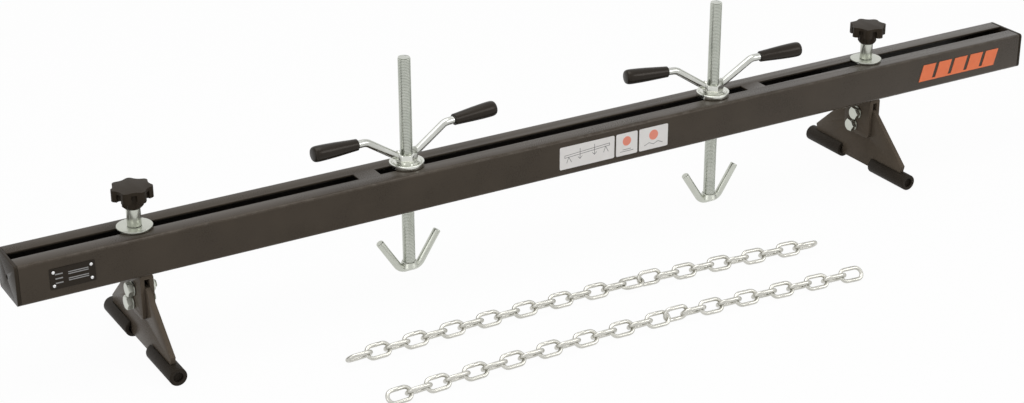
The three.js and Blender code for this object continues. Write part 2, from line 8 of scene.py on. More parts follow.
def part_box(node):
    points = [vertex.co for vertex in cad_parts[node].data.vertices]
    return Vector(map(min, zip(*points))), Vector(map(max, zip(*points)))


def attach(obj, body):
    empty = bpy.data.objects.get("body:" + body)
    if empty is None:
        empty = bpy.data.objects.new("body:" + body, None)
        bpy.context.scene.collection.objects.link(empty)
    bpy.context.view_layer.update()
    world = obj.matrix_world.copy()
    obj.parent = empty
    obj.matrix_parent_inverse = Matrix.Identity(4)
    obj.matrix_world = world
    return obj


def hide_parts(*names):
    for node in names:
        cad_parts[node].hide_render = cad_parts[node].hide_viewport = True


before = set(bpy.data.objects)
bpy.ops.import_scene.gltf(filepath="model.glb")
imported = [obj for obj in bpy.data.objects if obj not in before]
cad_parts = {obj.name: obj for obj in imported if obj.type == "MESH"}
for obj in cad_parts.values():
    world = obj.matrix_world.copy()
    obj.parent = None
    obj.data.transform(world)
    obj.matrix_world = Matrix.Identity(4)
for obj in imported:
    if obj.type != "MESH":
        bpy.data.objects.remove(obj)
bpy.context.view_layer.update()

# Camera
# It stands to the left of the bar, in front of it and about a metre above it, and looks down at it.
mm = 0.001
tube_low, tube_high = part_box("bar_tube")
bar_middle = (tube_low + tube_high) / 2
camera_from_bar = Vector((-1.3238, -2.1138, 1.0487))
camera_turn = math.radians(30.336)
camera_tilt = math.radians(24.348)
camera_roll = math.radians(-0.177)
camera_lens = 73.2

camera = bpy.data.objects.new("camera", bpy.data.cameras.new("camera"))
bpy.context.scene.collection.objects.link(camera)
camera.data.lens = camera_lens
upright = Euler((math.pi / 2 - camera_tilt, 0, -camera_turn)).to_matrix()
looking = upright @ Matrix.Rotation(camera_roll, 3, "Z")
camera.matrix_world = Matrix.Translation(bar_middle + camera_from_bar) @ looking.to_4x4()
bpy.context.scene.camera = camera

# Bar tube
# A rectangular steel tube with three slots cut through its top and bottom. It is powder coated in a
# satin charcoal black, with a painted highlight in patches along its long edges and painted shade inside.
bar_width = 65 * mm
bar_height = 50 * mm
bar_wall = 3 * mm
bar_corner = 4 * mm
slot_width = 17.5 * mm
bridge_length = 29.5 * mm
bridge_from_middle = 293.3 * mm
slot_rim = 0.5 * mm
corner_steps = 6
overrun = 2 * mm
weld_reach = 0.001 * mm
smooth_angle = math.radians(35)
sharp_angle = math.radians(32)
nearly_along = 0.99
coat_cloud = 60 * mm
coat_grain = 1.4 * mm
coat_grain_height = 0.03 * mm
# Where the painted highlight along the tube's long edges begins and is full, and the size of its patches.
edge_highlight_patch = 9 * mm
edge_highlight_starts = 3.5 * mm
edge_highlight_full = 1 * mm
# Where the painted shade inside the tube fades out, measured past its inner faces.
inside_shade_starts = 0.3 * mm
inside_shade_ends_across = 1.5 * mm
inside_shade_ends_up = 2 * mm
warm_shine = (1, 0.9, 0.8, 1)


def start_fresh():
    """Deselects everything, so that the next operator acts on the new piece alone."""
    if bpy.context.mode != "OBJECT":
        bpy.ops.object.mode_set(mode="OBJECT")
    bpy.ops.object.select_all(action="DESELECT")


def take_up(piece):
    start_fresh()
    piece.select_set(True)
    bpy.context.view_layer.objects.active = piece


def set_down(piece):
    """Puts the piece's place into its mesh, so that its object sits at the origin."""
    take_up(piece)
    bpy.ops.object.transform_apply(location=True, rotation=True, scale=True)
    return piece


def newest(name):
    """The piece that the last operator made, under its name."""
    made = bpy.context.object
    made.name = name
    return made


def block(name, low, high):
    start_fresh()
    bpy.ops.mesh.primitive_cube_add(size=1, location=(Vector(low) + Vector(high)) / 2)
    made = newest(name)
    made.scale = Vector(high) - Vector(low)
    return set_down(made)


def pick(piece, kind, wanted):
    """In edit mode, selects the vertices, edges or faces for which wanted says yes."""
    bpy.ops.mesh.select_mode(type=kind)
    bpy.ops.mesh.select_all(action="DESELECT")
    mesh = bmesh.from_edit_mesh(piece.data)
    for element in {"VERT": mesh.verts, "EDGE": mesh.edges, "FACE": mesh.faces}[kind]:
        if wanted(element):
            element.select_set(True)
    bmesh.update_edit_mesh(piece.data)


def runs_along(edge, axis):
    way = edge.verts[1].co - edge.verts[0].co
    return abs(way[axis]) > nearly_along * way.length


def round_picked(piece, width, segments, wanted):
    """Rounds the edges of the active piece for which wanted says yes."""
    bpy.ops.object.mode_set(mode="EDIT")
    pick(piece, "EDGE", wanted)
    bpy.ops.mesh.bevel(offset=width, segments=segments, affect="EDGES")
    bpy.ops.object.mode_set(mode="OBJECT")


def shape_by(piece, kind, **settings):
    """Adds a modifier to the piece and applies it."""
    take_up(piece)
    modifier = piece.modifiers.new(kind, kind)
    for setting, value in settings.items():
        setattr(modifier, setting, value)
    bpy.ops.object.modifier_apply(modifier=modifier.name)


def cut_away(piece, *cutters, operation="DIFFERENCE"):
    for cutter in cutters:
        shape_by(piece, "BOOLEAN", operation=operation, solver="EXACT", object=cutter)
        bpy.data.objects.remove(cutter)


def ease_edges(piece, width, segments=2):
    """Rounds the piece's sharp edges."""
    shape_by(piece, "BEVEL", width=width, segments=segments, limit_method="ANGLE", angle_limit=sharp_angle)


def fit(piece, body, finish, node):
    """Gives a piece the material of its finish and its body, and hides the solid it replaces."""
    material, slot = finish
    piece.data.materials.clear()
    piece.data.materials.append(material)
    set_down(piece)
    bpy.ops.object.shade_smooth_by_angle(angle=smooth_angle)
    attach(piece, body)
    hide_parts(node)


class Channel:
    """A number that varies over a surface. Arithmetic on it adds Math nodes."""

    def __init__(self, finish, socket):
        self.finish = finish
        self.socket = socket

    def maths(self, operation, *values):
        node = self.finish.node("ShaderNodeMath", dict(enumerate(values)), operation=operation)
        return Channel(self.finish, node.outputs[0])

    def __add__(self, other):
        return self.maths("ADD", self, other)

    def __sub__(self, other):
        return self.maths("SUBTRACT", self, other)

    def __rsub__(self, other):
        return self.maths("SUBTRACT", other, self)

    def __mul__(self, other):
        return self.maths("MULTIPLY", self, other)

    def __abs__(self):
        return self.maths("ABSOLUTE", self)

    __radd__ = __add__
    __rmul__ = __mul__

    def larger(self, *others):
        largest = self
        for other in others:
            largest = self.maths("MAXIMUM", largest, other)
        return largest

    def between(self, low, high):
        """0 at low, 1 at high, and clamped outside them."""
        inputs = {"Value": self, "From Min": low, "From Max": high}
        return Channel(self.finish, self.finish.node("ShaderNodeMapRange", inputs).outputs[0])

    def within(self, reach, soft):
        """1 below reach and 0 above it, with a soft edge between them."""
        return 1 - self.between(reach - soft, reach + soft)


class Finish:
    """A material: the Principled shader and the nodes that vary it over the surface."""

    def __init__(self, name, **fixed):
        self.material = bpy.data.materials.new(name)
        self.material.use_nodes = True
        self.tree = self.material.node_tree
        self.shader = self.tree.nodes["Principled BSDF"]
        for socket, value in fixed.items():
            self.shader.inputs[socket.replace("_", " ")].default_value = value
        self.place = self.node("ShaderNodeTexCoord", {}).outputs["Object"]

    def node(self, kind, inputs, **settings):
        node = self.tree.nodes.new(kind)
        for setting, value in settings.items():
            setattr(node, setting, value)
        for socket, value in inputs.items():
            value = getattr(value, "socket", value)
            if isinstance(value, bpy.types.NodeSocket):
                self.tree.links.new(value, node.inputs[socket])
            else:
                node.inputs[socket].default_value = value
        return node

    def set(self, socket, value):
        self.tree.links.new(getattr(value, "socket", value), self.shader.inputs[socket])

    def axes(self):
        parts = self.node("ShaderNodeSeparateXYZ", {"Vector": self.place})
        return [Channel(self, parts.outputs[axis]) for axis in "XYZ"]

    def noise(self, size, detail=2.0):
        """Cloudy noise from 0 to 1, whose patches are about one size across."""
        inputs = {"Vector": self.place, "Scale": 1 / size, "Detail": detail}
        return Channel(self, self.node("ShaderNodeTexNoise", inputs).outputs[0])

    def mix(self, share, first, second):
        inputs = {0: share, 6: first, 7: second}
        return self.node("ShaderNodeMix", inputs, data_type="RGBA").outputs[2]

    def shade(self, share, first, second):
        self.set("Base Color", self.mix(share, first, second))

    def bump(self, height, distance):
        inputs = {"Height": height, "Distance": distance, "Strength": 1}
        self.set("Normal", self.node("ShaderNodeBump", inputs).outputs[0])


def grey(level, warmth=0.0):
    """A nearly neutral colour: warmth lifts its red and lowers its blue."""
    return (level * (1 + warmth), level, level * (1 - warmth), 1)


def powder_coat(name, level, gloss, edges=None, inside=None):
    """Satin charcoal powder coat with an orange-peel grain, a painted highlight along edges and painted shade
    on inside.
    """
    coat = Finish(name, Specular_IOR_Level=gloss, Specular_Tint=warm_shine)
    cloud = coat.noise(coat_cloud)
    grain = coat.noise(coat_grain, 1.0)
    colour = coat.mix(cloud.between(0.3, 0.7), grey(level, 0.25), grey(1.25 * level, 0.25))
    roughness = 0.2 + grain * 0.1 + cloud * 0.08
    if edges:
        # Painted highlight: the colour turns lighter in patches along the given edges.
        edge_highlight = edges(coat) * coat.noise(edge_highlight_patch, 3.0).between(0.35, 0.7)
        colour = coat.mix(edge_highlight * 0.6, colour, grey(0.12, 0.14))
        roughness = roughness - edge_highlight * 0.1
    if inside:
        # Painted shade: the inside is darkened almost to black.
        colour = coat.mix(inside(coat) * 0.9, colour, grey(0.003, 0.2))
    coat.set("Base Color", colour)
    coat.set("Roughness", roughness)
    coat.bump(grain, coat_grain_height)
    return coat.material, "black_powder_coat"


def off_axis(coat, half_width, half_height, starts, ends_across, ends_up):
    """Two channels that rise from 0 to 1 as a point leaves the bar's axis, sideways and upwards."""
    x, y, z = coat.axes()
    across = abs(y - bar_middle.y).between(half_width + starts, half_width + ends_across)
    return across, abs(z - bar_middle.z).between(half_height + starts, half_height + ends_up)


def tube_edge_highlight(coat):
    """1 along the tube's four long edges, and 0 a little way from them: where the painted highlight lies."""
    across, up = off_axis(coat, bar_width / 2, bar_height / 2, -edge_highlight_starts, -edge_highlight_full, -edge_highlight_full)
    return across * up


def tube_inside_shade(coat):
    """1 on the tube's inner faces, fading through the slots' walls to 0 outside: where the painted shade
    lies.
    """
    half_width = bar_width / 2 - bar_wall
    half_height = bar_height / 2 - bar_wall
    across, up = off_axis(coat, half_width, half_height, inside_shade_starts, inside_shade_ends_across, inside_shade_ends_up)
    return (1 - across) * (1 - up)


# The bar's coat gets a painted highlight along its long edges and painted shade inside.
bar_coat = powder_coat("bar_powder_coat", 0.038, 0.2, tube_edge_highlight, tube_inside_shade)
tube = block("bar_tube_shell", tube_low, tube_high)
round_picked(tube, bar_corner, corner_steps, lambda edge: runs_along(edge, 0))
bpy.ops.object.mode_set(mode="EDIT")
pick(tube, "FACE", lambda face: abs(face.normal.x) > nearly_along)
bpy.ops.mesh.delete(type="ONLY_FACE")
bpy.ops.object.mode_set(mode="OBJECT")
shape_by(tube, "SOLIDIFY", thickness=bar_wall, offset=-1, use_even_offset=True)
bridge_inner = bridge_from_middle - bridge_length / 2
bridge_outer = bridge_from_middle + bridge_length / 2
tube_end = tube_high.x
slot_stretches = [
    (-tube_end - overrun, -bridge_outer), (-bridge_inner, bridge_inner), (bridge_outer, tube_end + overrun),
]
cut_away(tube, *[
    block(
        "slot_cutter",
        (start, bar_middle.y - slot_width / 2, tube_low.z - overrun),
        (end, bar_middle.y + slot_width / 2, tube_high.z + overrun),
    )
    for start, end in slot_stretches
])
ease_edges(tube, slot_rim)
fit(tube, "bar", bar_coat, "bar_tube")

# End plates
# Two steel plates that close the tube. Each has a small centre hole that drains the coating bath.
plate_hole = 6 * mm
plate_edge = 0.8 * mm

end_coat = powder_coat("end_powder_coat", 0.026, 0.05)


def spin_round(steps, angle, centre, axis):
    """Spins the selection about an axis by the right-hand rule, against which the operator counts."""
    bpy.ops.mesh.spin(steps=steps, angle=-angle, center=centre, axis=axis)


def edit_all():
    """Enters edit mode with every vertex selected."""
    bpy.ops.object.mode_set(mode="EDIT")
    bpy.ops.mesh.select_mode(type="VERT")
    bpy.ops.mesh.select_all(action="SELECT")


def extrude(way):
    bpy.ops.mesh.extrude_region_move(TRANSFORM_OT_translate={"value": way})


def weld_all():
    """In edit mode, selects everything and joins the vertices that lie in one place."""
    bpy.ops.mesh.select_all(action="SELECT")
    bpy.ops.mesh.remove_doubles(threshold=weld_reach)


def leave_edit():
    """Turns every face outwards and leaves edit mode."""
    bpy.ops.mesh.select_all(action="SELECT")
    bpy.ops.mesh.normals_make_consistent(inside=False)
    bpy.ops.object.mode_set(mode="OBJECT")


def draw_line(name, points):
    """A new piece, left in edit mode, that is one line of edges through the points."""
    start_fresh()
    bpy.ops.mesh.primitive_plane_add(size=mm)
    made = newest(name)
    edit_all()
    bpy.ops.mesh.merge(type="CENTER")
    bpy.ops.transform.translate(value=points[0])
    for before, after in zip(points, points[1:]):
        extrude(Vector(after) - Vector(before))
    return made


def turned(name, foot, profile, steps=64):
    """A piece turned about Z, from points of radius and height above its foot."""
    made = draw_line(name, [(radius, 0, height) for radius, height in profile])
    bpy.ops.mesh.select_all(action="SELECT")
    spin_round(steps, math.tau, (0, 0, 0), (0, 0, 1))
    weld_all()
    bpy.ops.mesh.delete_loose(use_verts=True, use_edges=True, use_faces=False)
    leave_edit()
    made.location = foot
    return set_down(made)


def turned_ring(name, foot, outer, inner, height, steps=64):
    profile = [(inner, 0), (outer, 0), (outer, height), (inner, height), (inner, 0)]
    return turned(name, foot, profile, steps)


def pin(name, foot, radius, height, steps=48):
    return turned(name, foot, [(0, 0), (radius, 0), (radius, height), (0, height)], steps)


def cross_drill(x, y, z, radius, reach):
    """A round cutter along X, which reaches equally far to both sides of x."""
    drill = pin("drill", (0, 0, -reach), radius, 2 * reach)
    drill.rotation_euler = (0, math.pi / 2, 0)
    drill.location = (x, y, z)
    return set_down(drill)


for side in ("left", "right"):
    low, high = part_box(f"end_plate_{side}")
    plate = block(f"end_plate_{side}_welded", low, high)
    round_picked(plate, bar_corner, corner_steps, lambda edge: runs_along(edge, 0))
    reach = high.x - low.x
    cut_away(plate, cross_drill(low.x, bar_middle.y, bar_middle.z, plate_hole / 2, reach + overrun))
    ease_edges(plate, plate_edge)
    fit(plate, "bar", end_coat, f"end_plate_{side}")

# Rating plate and rivets
# A thin black sheet with plain pale bars, held by four blind rivets whose domed heads are bright.
rivet_head = 4.2 * mm
rivet_height = 1.1 * mm
rivet_cloud_size = 1.5 * mm
rivet_profile = [(0, 0), (1, 0), (0.98, 0.3), (0.8, 0.75), (0.45, 1), (0.3, 0.8), (0, 0.75)]
rating_cloud = 12 * mm
rating_soft = 0.1 * mm
rating_bars = [
    (-16, 5.5, 9, 1.5), (-16, 0, 9, 1.5), (-16, -5.5, 9, 1.5),
    (7, 5.4, 24, 1.2), (7, 3, 24, 1.2), (7, -2.6, 24, 1.2), (7, -5, 24, 1.2),
]


def bar_mask(place, x, z, length, height):
    """1 on an upright rectangle of the plate, given from the plate's middle, and 0 beside it."""
    across = abs(place[0] - x).within(length / 2, rating_soft)
    return across * abs(place[1] - z).within(height / 2, rating_soft)


def middle(node):
    low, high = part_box(node)
    return [(low[axis] + high[axis]) / 2 for axis in range(3)]


def film_place(film, node):
    """Two channels that measure from a film's middle, sideways and upwards."""
    x, y, z = film.axes()
    return x - middle(node)[0], z - middle(node)[2]


def barred_sheet():
    sheet = Finish("rating_sheet", Specular_IOR_Level=0.2, Specular_Tint=warm_shine)
    place = film_place(sheet, "rating_plate")
    masks = [bar_mask(place, *[value * mm for value in bar]) for bar in rating_bars]
    marks = masks[0].larger(*masks[1:])
    cloud = sheet.noise(rating_cloud)
    base = sheet.mix(cloud, grey(0.010, 0.3), grey(0.016, 0.3))
    sheet.shade(marks * 0.5, base, grey(0.6))
    sheet.set("Roughness", 0.32 + cloud * 0.15)
    return sheet.material


def dress_node(node, finish):
    """Gives a solid of the frame its material. Its shape stays as it is."""
    for material_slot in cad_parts[node].material_slots:
        material_slot.material = finish


dress_node("rating_plate", barred_sheet())
rivet_metal = Finish("rivet_metal", Metallic=1.0)
rivet_cloud = rivet_metal.noise(rivet_cloud_size)
rivet_metal.shade(rivet_cloud, grey(0.62), grey(0.78))
rivet_metal.set("Roughness", 0.2 + rivet_cloud * 0.2)
for number in (1, 2, 3, 4):
    x, y, z = middle(f"rating_rivet_{number}")
    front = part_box(f"rating_rivet_{number}")[0].y
    profile = [(radius * rivet_head / 2, height * rivet_height) for radius, height in rivet_profile]
    rivet = turned(f"rating_rivet_{number}_head", (0, 0, 0), profile, 32)
    rivet.rotation_euler = (math.pi / 2, 0, 0)
    rivet.location = (x, front + rivet_height, z)
    fit(rivet, "bar", (rivet_metal.material, "rivet_silver"), f"rating_rivet_{number}")

# Labels
# Three white films with a plain line drawing of the bar on its feet and a few plain shapes, and an
# orange film with slanted blocks. All are glossy print on the coated front.
ink = 0.7 * mm
ink_soft = 0.12 * mm
disc_soft = 0.3 * mm
film_cloud = 15 * mm
orange_cloud_size = 8 * mm
disc_red = (0.83, 0.17, 0.07, 1)


def stroke(place, start, end, width):
    """1 along a straight pen line between two points of the film, given from its middle."""
    x, z = place
    run = Vector(end) - Vector(start)
    length = run.length
    along_x = run.x / length
    along_z = run.y / length
    off_x = x - start[0]
    off_z = z - start[1]
    along = off_x * along_x + off_z * along_z
    across = abs(off_z * along_x - off_x * along_z)
    overshoot = (0 - along).larger(along - length)
    return across.larger(overshoot).within(width / 2, ink_soft)


def white_film(name, node, strokes, discs):
    film = Finish(name, Coat_Weight=0.3)
    place = film_place(film, node)
    cloud = film.noise(film_cloud)
    colour = film.mix(cloud, grey(0.74, 0.03), grey(0.82, 0.03))
    for x, z, radius in discs:
        from_middle = film.node("ShaderNodeCombineXYZ", {0: place[0] - x, 1: place[1] - z})
        length = film.node("ShaderNodeVectorMath", {0: from_middle.outputs[0]}, operation="LENGTH")
        spot = Channel(film, length.outputs["Value"]).within(radius, disc_soft)
        colour = film.mix(spot * 0.85, colour, disc_red)
    marks = [stroke(place, start, end, ink) for start, end in strokes]
    film.shade(marks[0].larger(*marks[1:]) * 0.9, colour, grey(0.03))
    film.set("Roughness", 0.28 + cloud * 0.1)
    return film.material


def millimetres(*points):
    return [(Vector(start) * mm, Vector(end) * mm) for start, end in points]


bar_drawing = millimetres(
    ((-34, 3), (34, 7)), ((-34, 0), (34, 4)), ((-34, 0), (-34, 3)), ((34, 4), (34, 7)),
    ((-28, 0.3), (-31, -7)), ((-28, 0.3), (-24, -7)), ((28, 3.6), (25, -4)), ((28, 3.6), (32, -4)),
    ((-11, 9), (-11, -5)), ((11, 10), (11, -4)),
    ((-14, -2), (-11, -5)), ((-11, -5), (-8, -2)), ((8, -1), (11, -4)), ((11, -4), (14, -1)),
)
frame_drawing = millimetres(((-10, -10), (10, -10)), ((-6, -7.5), (6, -7.5)))
wave_drawing = millimetres(
    ((-14, -9), (-7, -6)), ((-7, -6), (0, -9)), ((0, -9), (7, -6)), ((7, -6), (14, -9)),
)
for name, node, strokes, discs in (
    ("first_label", "label_panel_1", bar_drawing, []),
    ("second_label", "label_panel_2", frame_drawing, [(0, 4 * mm, 6.5 * mm)]),
    ("third_label", "label_panel_3", wave_drawing, [(0, 4 * mm, 7 * mm)]),
):
    dress_node(node, white_film(name, node, strokes, discs))
orange = Finish("orange_print", Coat_Weight=0.2)
orange_cloud = orange.noise(orange_cloud_size)
orange.shade(orange_cloud, (0.80, 0.15, 0.035, 1), (0.88, 0.20, 0.06, 1))
orange.set("Roughness", 0.34 + orange_cloud * 0.12)
dress_node("accent_film", orange.material)

# Support brackets
# A clevis under the bar: a folded steel strap whose two legs hold the foot plate between them. It is
# welded to the clamping stud and coated like the bar.
support_x = {side: middle(f"clamp_stud_{side}")[0] for side in ("left", "right")}
seat_gap = 0.3 * mm
foot_thick = 6 * mm
bracket_fold = 4 * mm
bracket_corner = 7 * mm
bracket_web = 6 * mm
bracket_corner_steps = 8
bracket_fold_steps = 5
bracket_edge = 0.7 * mm
bolt_thread = 10 * mm
bolt_hole = bolt_thread / 2 + seat_gap
bolt_places = {"pivot": (0, -52 * mm), "lock": (7 * mm, -72 * mm)}
steel_coat = powder_coat("foot_powder_coat", 0.07, 0.05)


for side, x in support_x.items():
    low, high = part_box(f"support_bracket_{side}")
    bracket = block(f"clevis_{side}", low, high)
    round_picked(
        bracket, bracket_corner, bracket_corner_steps,
        lambda edge: runs_along(edge, 0) and edge.verts[0].co.z < low.z + overrun,
    )
    round_picked(
        bracket, bracket_fold, bracket_fold_steps,
        lambda edge: runs_along(edge, 1) and edge.verts[0].co.z > high.z - overrun,
    )
    gap = foot_thick / 2 + seat_gap
    gap_low = (x - gap, low.y - overrun, low.z - overrun)
    gap_high = (x + gap, high.y + overrun, high.z - bracket_web)
    cut_away(bracket, block("gap_cutter", gap_low, gap_high))
    for y, z in bolt_places.values():
        reach = 2 * bracket_fold + gap
        cut_away(bracket, cross_drill(x, bar_middle.y + y, bar_middle.z + z, bolt_hole, reach))
    ease_edges(bracket, bracket_edge)
    fit(bracket, f"support_{side}", steel_coat, f"support_bracket_{side}")

# Clamping studs
# A threaded rod welded into the clevis. It goes up through both slots and into the knob's bush.
stud_thread = 12 * mm
stud_pitch = 1.75 * mm
thread_depth_share = 0.6
thread_end_taper = 0.93
sharp_thread_shares = [(0, 0), (3 / 8, 1), (1 / 2, 1), (7 / 8, 0), (1, 0)]
plating_cloud = 26 * mm
plating_grain = 0.8 * mm
plating_grain_height = 0.004 * mm


def zinc_plating(name, dark, light, rough, slot="zinc_plate"):
    """Zinc plate over drawn steel: cloudy, with a faint green cast and a fine satin grain."""
    plating = Finish(name, Metallic=1.0)
    cloud = plating.noise(plating_cloud, 3.0)
    grain = plating.noise(plating_grain, 2.0)
    plating.shade(cloud.between(0.25, 0.75), dark, light)
    plating.set("Roughness", rough + cloud * 0.08 + grain * 0.06)
    plating.bump(grain, plating_grain_height)
    return plating.material, slot


zinc = zinc_plating("zinc_plating", (0.48, 0.495, 0.44, 1), (0.56, 0.575, 0.515, 1), 0.22)


def threaded(
    name, foot, length, diameter, pitch, steps=24,
    profile_shares=sharp_thread_shares, depth_share=thread_depth_share,
):
    """A threaded bar along Z: one turn of thread is screwed up the bar, and both ends are cut flat."""
    depth = depth_share * pitch
    core = diameter / 2 - depth
    made = draw_line(name, [(core + share * depth, 0, (rise - 1) * pitch) for rise, share in profile_shares])
    bpy.ops.object.mode_set(mode="OBJECT")
    turns = math.ceil(length / pitch) + 2
    shape_by(
        made, "SCREW", angle=math.tau, screw_offset=pitch, iterations=turns, steps=steps, render_steps=steps,
        use_merge_vertices=False,
    )
    bpy.ops.object.mode_set(mode="EDIT")
    weld_all()
    for height, above in ((0, False), (length, True)):
        bpy.ops.mesh.select_all(action="SELECT")
        bpy.ops.mesh.bisect(
            plane_co=(0, 0, height), plane_no=(0, 0, 1), use_fill=True,
            clear_inner=not above, clear_outer=above,
        )
    for height in (0, length):
        pick(made, "VERT", lambda vertex: abs(vertex.co.z - height) < pitch / 2)
        taper = (thread_end_taper, thread_end_taper, 1)
        bpy.ops.transform.resize(value=taper, center_override=(0, 0, height))
    leave_edit()
    made.location = foot
    return set_down(made)


for side, x in support_x.items():
    low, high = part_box(f"clamp_stud_{side}")
    stud = threaded(f"stud_{side}", (x, bar_middle.y, low.z), high.z - low.z, stud_thread, stud_pitch)
    fit(stud, f"support_{side}", zinc, f"clamp_stud_{side}")

# Clamp washers
# A broad zinc-plated washer on the bar, which spreads the knob's pressure across the slot.
washer_edge = 0.5 * mm

for side, x in support_x.items():
    low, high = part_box(f"clamp_washer_{side}")
    outer = (high.x - low.x) / 2
    inner = stud_thread / 2 + seat_gap
    washer = turned_ring(f"washer_{side}", (x, bar_middle.y, low.z), outer, inner, high.z - low.z, 96)
    ease_edges(washer, washer_edge)
    fit(washer, f"support_{side}", zinc, f"clamp_washer_{side}")

# Star knobs and their bushes
# A seven-lobed knob moulded in matt black plastic round a smooth steel bush, which presses on the
# washer. Deep notches between its lobes stop short of its top, and its fluted neck ends in a cone.
knob_lobes = 7
tip_steps = 12
valley_steps = 6
knob_tip = 25 * mm
knob_valley = 21.2 * mm
knob_tip_round = 5.2 * mm
knob_head_height = 14 * mm
knob_cap_height = 4 * mm
knob_notch_round = 4 * mm
knob_notch_from_axis = 19.4 * mm
knob_head_edge = 1.3 * mm
neck_height = 14 * mm
neck_tip = 13 * mm
neck_valley = 10.6 * mm
neck_tip_round = 3.4 * mm
neck_foot = 9.3 * mm
neck_foot_height = 3.4 * mm
bush_diameter = 17 * mm
bush_edge = 0.2 * mm
moulding_grain_size = 0.7 * mm
moulding_cloud_size = 20 * mm
moulding_grain_height = 0.03 * mm

moulding = Finish("knob_moulding", Specular_IOR_Level=0.15, Specular_Tint=warm_shine)
moulding_grain = moulding.noise(moulding_grain_size, 2.0)
moulding_cloud = moulding.noise(moulding_cloud_size)
moulding.shade(moulding_cloud, grey(0.014, 0.36), grey(0.020, 0.36))
moulding.set("Roughness", 0.42 + moulding_grain * 0.16)
moulding.bump(moulding_grain, moulding_grain_height)


def lobed_plate(name, lobes, tip, valley, tip_round, height):
    """A plate whose outline runs in and out: round tips joined by round valleys, all tangent."""
    half = math.pi / lobes
    tip_centre = tip - tip_round
    spread = tip_centre * math.cos(half)
    valley_round = tip_centre**2 + valley**2 - 2 * valley * spread - tip_round**2
    valley_round /= 2 * (tip_round + spread - valley)
    valley_centre = Vector((math.cos(half), math.sin(half), 0)) * (valley + valley_round)
    towards = valley_centre - Vector((tip_centre, 0, 0))
    tip_angle = math.atan2(towards.y, towards.x)
    valley_angle = 2 * (tip_angle - half)
    towards_start = Vector((math.cos(tip_angle), -math.sin(tip_angle), 0))
    made = draw_line(name, [Vector((tip_centre, 0, 0)) + towards_start * tip_round])
    for lobe in range(lobes):
        way = Matrix.Rotation(2 * half * lobe, 3, "Z")
        spin_round(tip_steps, 2 * tip_angle, way @ Vector((tip_centre, 0, 0)), (0, 0, 1))
        spin_round(valley_steps, valley_angle, way @ valley_centre, (0, 0, -1))
    weld_all()
    bpy.ops.mesh.edge_face_add()
    extrude((0, 0, height))
    leave_edit()
    return made


for side, x in support_x.items():
    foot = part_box(f"clamp_knob_{side}")[0].z
    bush_low, bush_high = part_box(f"knob_bush_{side}")
    head = lobed_plate(
        f"star_knob_{side}", knob_lobes, knob_tip, knob_valley, knob_tip_round, knob_head_height,
    )
    for lobe in range(knob_lobes):
        way = Matrix.Rotation(math.tau * (lobe + 0.5) / knob_lobes, 3, "Z")
        notch_foot = way @ Vector((knob_notch_from_axis, 0, -overrun))
        notch_height = knob_head_height - knob_cap_height + overrun
        cut_away(head, pin("notch", notch_foot, knob_notch_round, notch_height, 32))
    ease_edges(head, knob_head_edge, 4)
    neck = lobed_plate("neck", knob_lobes, neck_tip, neck_valley, neck_tip_round, -neck_height)
    wide = neck_tip + overrun
    cut_away(neck, turned("foot_cone", (0, 0, -neck_height), [
        (0, 0), (neck_foot, 0), (wide, neck_foot_height + overrun), (wide, 2 * neck_height),
        (0, 2 * neck_height),
    ]), operation="INTERSECT")
    neck.location = (0, 0, overrun / 2)
    cut_away(head, set_down(neck), operation="UNION")
    head.rotation_euler = (0, 0, math.pi)
    head.location = (x, bar_middle.y, foot + neck_height)
    set_down(head)
    bore_foot = foot - overrun
    bore_height = bush_high.z + seat_gap - bore_foot
    cut_away(head, pin("bore", (x, bar_middle.y, bore_foot), bush_diameter / 2 + seat_gap, bore_height))
    fit(head, f"knob_{side}", (moulding.material, "knob_plastic"), f"clamp_knob_{side}")
    bush = turned_ring(
        f"bush_{side}", (x, bar_middle.y, bush_low.z),
        bush_diameter / 2, stud_thread / 2 + seat_gap, bush_high.z - bush_low.z,
    )
    ease_edges(bush, bush_edge)
    fit(bush, f"knob_{side}", zinc, f"knob_bush_{side}")

# Bolts, washers and nuts
# Hexagon bolts with chamfered heads hold the foot plate in the clevis. The upper one is its pivot and
# the lower one locks its tilt.
bolt_pitch = 1.5 * mm
bolt_flats = 16 * mm
hex_chamfer = 1.1 * mm
bolt_washer_edge = 0.25 * mm


def prism(name, flats, foot, height):
    """A six-sided bar along Z, given by its width across flats. Two of its flats face along X."""
    start_fresh()
    bpy.ops.mesh.primitive_cylinder_add(
        vertices=6, radius=flats / math.sqrt(3), depth=height, location=(0, 0, foot + height / 2),
    )
    return set_down(newest(name))


def hexagon(name, flats, height, chamfer_foot=False):
    """A hexagon whose corners are turned down at the top, and also at the foot for a nut."""
    made = prism(name, flats, 0, height)
    corner = flats / math.sqrt(3)
    wide = corner + overrun
    flat = flats / 2
    drop = hex_chamfer * (wide - flat) / (corner - flat)
    foot = [(0, 0), (flat, 0), (wide, drop)] if chamfer_foot else [(0, 0), (wide, 0)]
    turning = turned("turning", (0, 0, 0), foot + [(wide, height - drop), (flat, height), (0, height)], 96)
    cut_away(made, turning, operation="INTERSECT")
    return made


def place_along_x(piece, x, y, z, flip=False):
    piece.rotation_euler = (0, -math.pi / 2 if flip else math.pi / 2, 0)
    piece.location = (x, bar_middle.y + y, bar_middle.z + z)
    return set_down(piece)


